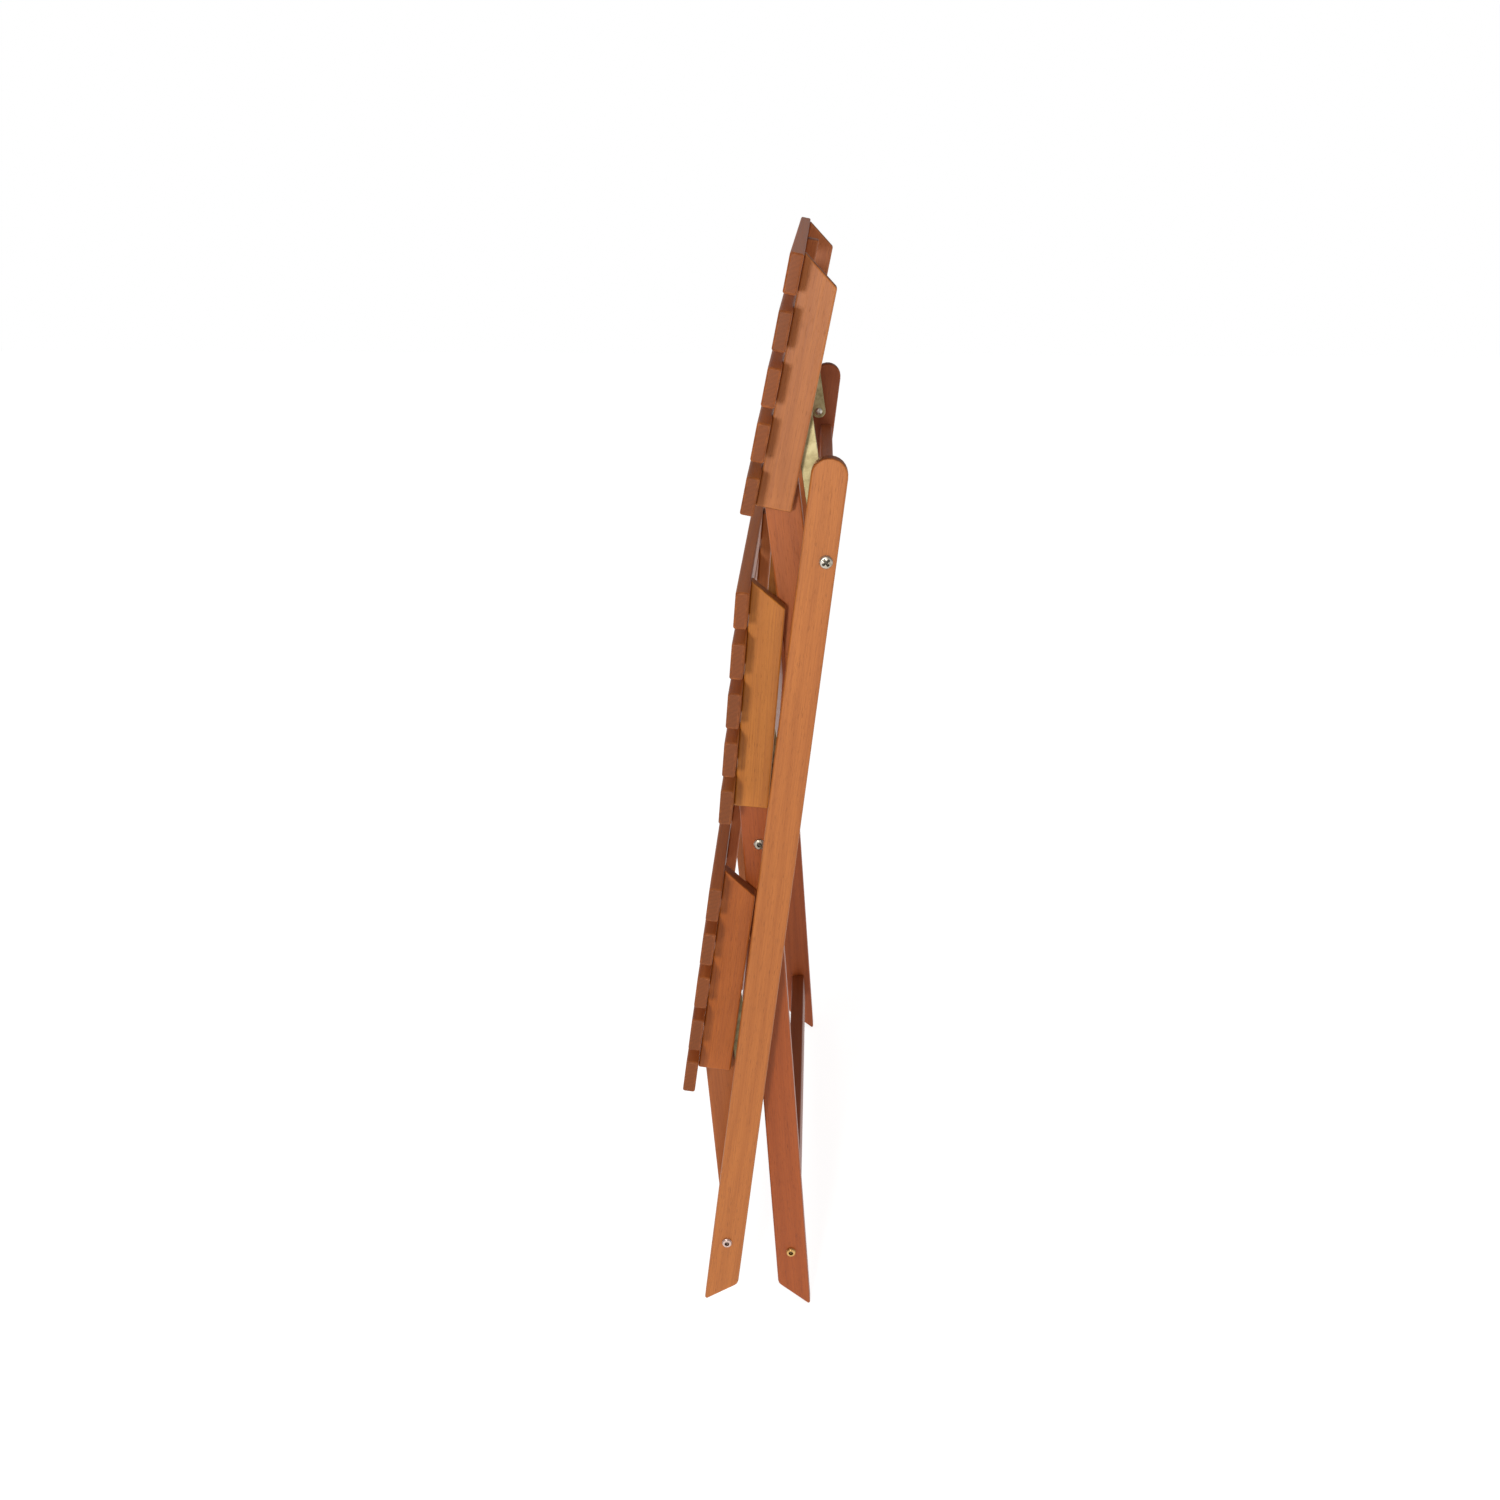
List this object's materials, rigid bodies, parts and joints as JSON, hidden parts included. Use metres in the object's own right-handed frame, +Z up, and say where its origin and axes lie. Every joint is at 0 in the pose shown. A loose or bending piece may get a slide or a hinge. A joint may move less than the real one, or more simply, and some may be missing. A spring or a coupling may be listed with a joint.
{
  "type": "folding slatted stand",
  "caption": "Wooden folding stand with three slatted tiers on crossing legs, steel links and mitred feet, shown almost folded.",
  "frame": {"origin": "centre of the bounding box in plan, at its lowest point, in the folded rest pose", "axes": "+Z up, along the folded height; X along the slats; the slatted side faces -Y"},
  "size_m": [0.794, 0.1608, 1.1704],
  "materials": {
    "leg_wood": "satin",
    "rear_wood": "satin",
    "rail_wood": "satin",
    "slat_wood": "satin",
    "bar_wood": "satin",
    "fastener_steel": "satin",
    "link_zinc": "satin"
  },
  "bodies": {
    "frame": {"long_leg_left": "leg_wood", "long_leg_right": "leg_wood", "top_crossbar": "bar_wood", "front_stretcher": "bar_wood", "long_leg_top_bolt_left": "fastener_steel", "long_leg_top_bolt_right": "fastener_steel", "long_leg_foot_bolt_left": "fastener_steel", "long_leg_foot_bolt_right": "fastener_steel", "top_leg_pivot_left": "fastener_steel", "top_leg_pivot_right": "fastener_steel", "middle_leg_pivot_left": "fastener_steel", "middle_leg_pivot_right": "fastener_steel", "bottom_leg_pivot_left": "fastener_steel", "bottom_leg_pivot_right": "fastener_steel"},
    "top_struts": {"top_strut_left": "rear_wood", "top_strut_right": "rear_wood", "top_shelf_pivot_left": "fastener_steel", "top_shelf_pivot_right": "fastener_steel"},
    "top_shelf": {"top_rail_left": "rail_wood", "top_rail_right": "rail_wood", "top_batten": "bar_wood", "top_slat_1": "slat_wood", "top_slat_2": "slat_wood", "top_slat_3": "slat_wood", "top_slat_4": "slat_wood", "top_slat_5": "slat_wood"},
    "top_links": {"top_link_left": "link_zinc", "top_link_right": "link_zinc"},
    "rear_frame": {"rear_leg_left": "rear_wood", "rear_leg_right": "rear_wood", "rear_stretcher_lower": "bar_wood", "rear_stretcher_upper": "bar_wood", "rear_leg_foot_bolt_left": "fastener_steel", "rear_leg_foot_bolt_right": "fastener_steel", "middle_shelf_pivot_left": "fastener_steel", "middle_shelf_pivot_right": "fastener_steel"},
    "middle_shelf": {"middle_rail_left": "rail_wood", "middle_rail_right": "rail_wood", "middle_batten": "bar_wood", "middle_slat_1": "slat_wood", "middle_slat_2": "slat_wood", "middle_slat_3": "slat_wood", "middle_slat_4": "slat_wood", "middle_slat_5": "slat_wood"},
    "middle_links": {"middle_link_left": "link_zinc", "middle_link_right": "link_zinc"},
    "bottom_struts": {"bottom_strut_left": "rear_wood", "bottom_strut_right": "rear_wood", "bottom_shelf_pivot_left": "fastener_steel", "bottom_shelf_pivot_right": "fastener_steel"},
    "bottom_shelf": {"bottom_rail_left": "rail_wood", "bottom_rail_right": "rail_wood", "bottom_batten": "bar_wood", "bottom_slat_1": "slat_wood", "bottom_slat_2": "slat_wood", "bottom_slat_3": "slat_wood", "bottom_slat_4": "slat_wood", "bottom_slat_5": "slat_wood"},
    "bottom_links": {"bottom_link_left": "link_zinc", "bottom_link_right": "link_zinc"}
  },
  "joints": [
    {"name": "top_fold", "type": "hinge", "parent": "frame", "child": "top_struts", "pos_m": [0, 0.0405, 0.77251], "axis": [1, 0, 0], "range_deg": [-0.3, 65.71]},
    {"name": "top_shelf_tilt", "type": "hinge", "parent": "top_struts", "child": "top_shelf", "pos_m": [0, 0.01572, 0.96039], "axis": [1, 0, 0], "range_deg": [-114.17, 0.6]},
    {"name": "top_link_swing", "type": "hinge", "parent": "top_shelf", "child": "top_links", "pos_m": [0, 0.03276, 1.04876], "axis": [1, 0, 0], "range_deg": [-0.6, 153.75]},
    {"name": "middle_fold", "type": "hinge", "parent": "frame", "child": "rear_frame", "pos_m": [0, 0.00527, 0.46684], "axis": [1, 0, 0], "range_deg": [0, 68.72]},
    {"name": "middle_shelf_tilt", "type": "hinge", "parent": "rear_frame", "child": "middle_shelf", "pos_m": [0, -0.00863, 0.65583], "axis": [1, 0, 0], "range_deg": [-124.05, 0.6]},
    {"name": "middle_link_swing", "type": "hinge", "parent": "middle_shelf", "child": "middle_links", "pos_m": [0, -0.00181, 0.74557], "axis": [1, 0, 0], "range_deg": [-0.6, 160.79]},
    {"name": "bottom_fold", "type": "hinge", "parent": "frame", "child": "bottom_struts", "pos_m": [0, -0.02996, 0.16116], "axis": [1, 0, 0], "range_deg": [-0.3, 68.13]},
    {"name": "bottom_shelf_tilt", "type": "hinge", "parent": "bottom_struts", "child": "bottom_shelf", "pos_m": [0, -0.04679, 0.34991], "axis": [1, 0, 0], "range_deg": [-120.15, 0.6]},
    {"name": "bottom_link_swing", "type": "hinge", "parent": "bottom_shelf", "child": "bottom_links", "pos_m": [0, -0.03527, 0.43917], "axis": [1, 0, 0], "range_deg": [-0.6, 158.53]}
  ],
  "couplings": [
    {"joint": "top_fold", "follows": "middle_fold", "ratio": 0.9518},
    {"joint": "top_shelf_tilt", "follows": "middle_fold", "ratio": -1.6526},
    {"joint": "top_link_swing", "follows": "middle_fold", "ratio": 2.2286},
    {"joint": "middle_shelf_tilt", "follows": "middle_fold", "ratio": -1.7964},
    {"joint": "middle_link_swing", "follows": "middle_fold", "ratio": 2.3311},
    {"joint": "bottom_fold", "follows": "middle_fold", "ratio": 0.987},
    {"joint": "bottom_shelf_tilt", "follows": "middle_fold", "ratio": -1.7397},
    {"joint": "bottom_link_swing", "follows": "middle_fold", "ratio": 2.2982}
  ]
}
